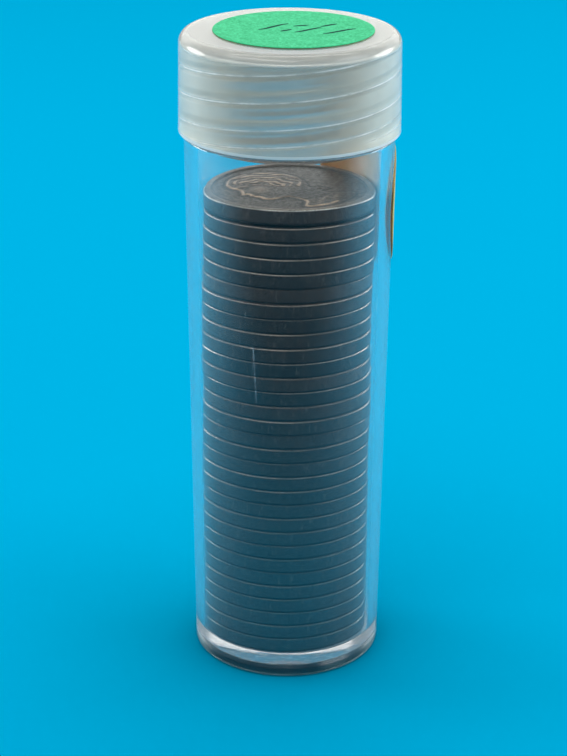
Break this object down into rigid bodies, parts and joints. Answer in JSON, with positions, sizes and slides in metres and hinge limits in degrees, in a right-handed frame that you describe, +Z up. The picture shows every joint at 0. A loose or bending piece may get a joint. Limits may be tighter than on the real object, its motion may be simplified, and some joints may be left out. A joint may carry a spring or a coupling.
{
  "type": "coin tube",
  "caption": "Clear tapered screw-top tube with a milky cap, round stickers on cap and side, and a stack of coins inside.",
  "frame": {"origin": "centre of the tube's underside, on the surface it stands on", "axes": "+Z up along the tube's axis towards the cap, -Y the front that the picture shows, +X to the right"},
  "size_m": [0.027, 0.027, 0.0815],
  "materials": {
    "clear_plastic": "clear moulded polystyrene, glossy, with fine handling scratches",
    "milky_plastic": "translucent milky polyethylene, satin",
    "green_paper": "matt bright green paper with a faint grain and pen strokes",
    "tan_paper": "matt tan paper",
    "label_glue": "clear pressure-sensitive glue film",
    "coin_metal": "worn and darkly toned copper-nickel, smooth edge, brighter rims"
  },
  "bodies": {
    "tube_body": {"tube": "clear_plastic", "side_label": "tan_paper", "side_label_glue": "label_glue"},
    "cap_lift_carrier": {"cap_label_glue": "label_glue"},
    "cap_body": {"cap": "milky_plastic", "cap_label": "green_paper"},
    "coin_stack": {"coin_01": "coin_metal", "coin_02": "coin_metal", "coin_03": "coin_metal", "coin_04": "coin_metal", "coin_05": "coin_metal", "coin_06": "coin_metal", "coin_07": "coin_metal", "coin_08": "coin_metal", "coin_09": "coin_metal", "coin_10": "coin_metal", "coin_11": "coin_metal", "coin_12": "coin_metal", "coin_13": "coin_metal", "coin_14": "coin_metal", "coin_15": "coin_metal", "coin_16": "coin_metal", "coin_17": "coin_metal", "coin_18": "coin_metal", "coin_19": "coin_metal", "coin_20": "coin_metal", "coin_21": "coin_metal", "coin_22": "coin_metal", "coin_23": "coin_metal", "coin_24": "coin_metal", "coin_25": "coin_metal", "coin_26": "coin_metal", "coin_27": "coin_metal", "coin_28": "coin_metal", "coin_29": "coin_metal", "coin_30": "coin_metal", "coin_31": "coin_metal"}
  },
  "joints": [
    {"name": "cap_lift", "type": "slide", "parent": "tube_body", "child": "cap_lift_carrier", "axis": [0, 0, 1], "range_m": [0, 0.0129]},
    {"name": "cap_turn", "type": "hinge", "parent": "cap_lift_carrier", "child": "cap_body", "pos_m": [0, 0, 0.0693], "axis": [0, 0, 1], "range_deg": [0, 720]},
    {"name": "coins_slide", "type": "slide", "parent": "tube_body", "child": "coin_stack", "axis": [0, 0, -1], "range_m": [-0.0175, 0]}
  ],
  "couplings": [
    {"joint": "cap_lift", "follows": "cap_turn", "m_per_rad": 0.0010186}
  ]
}
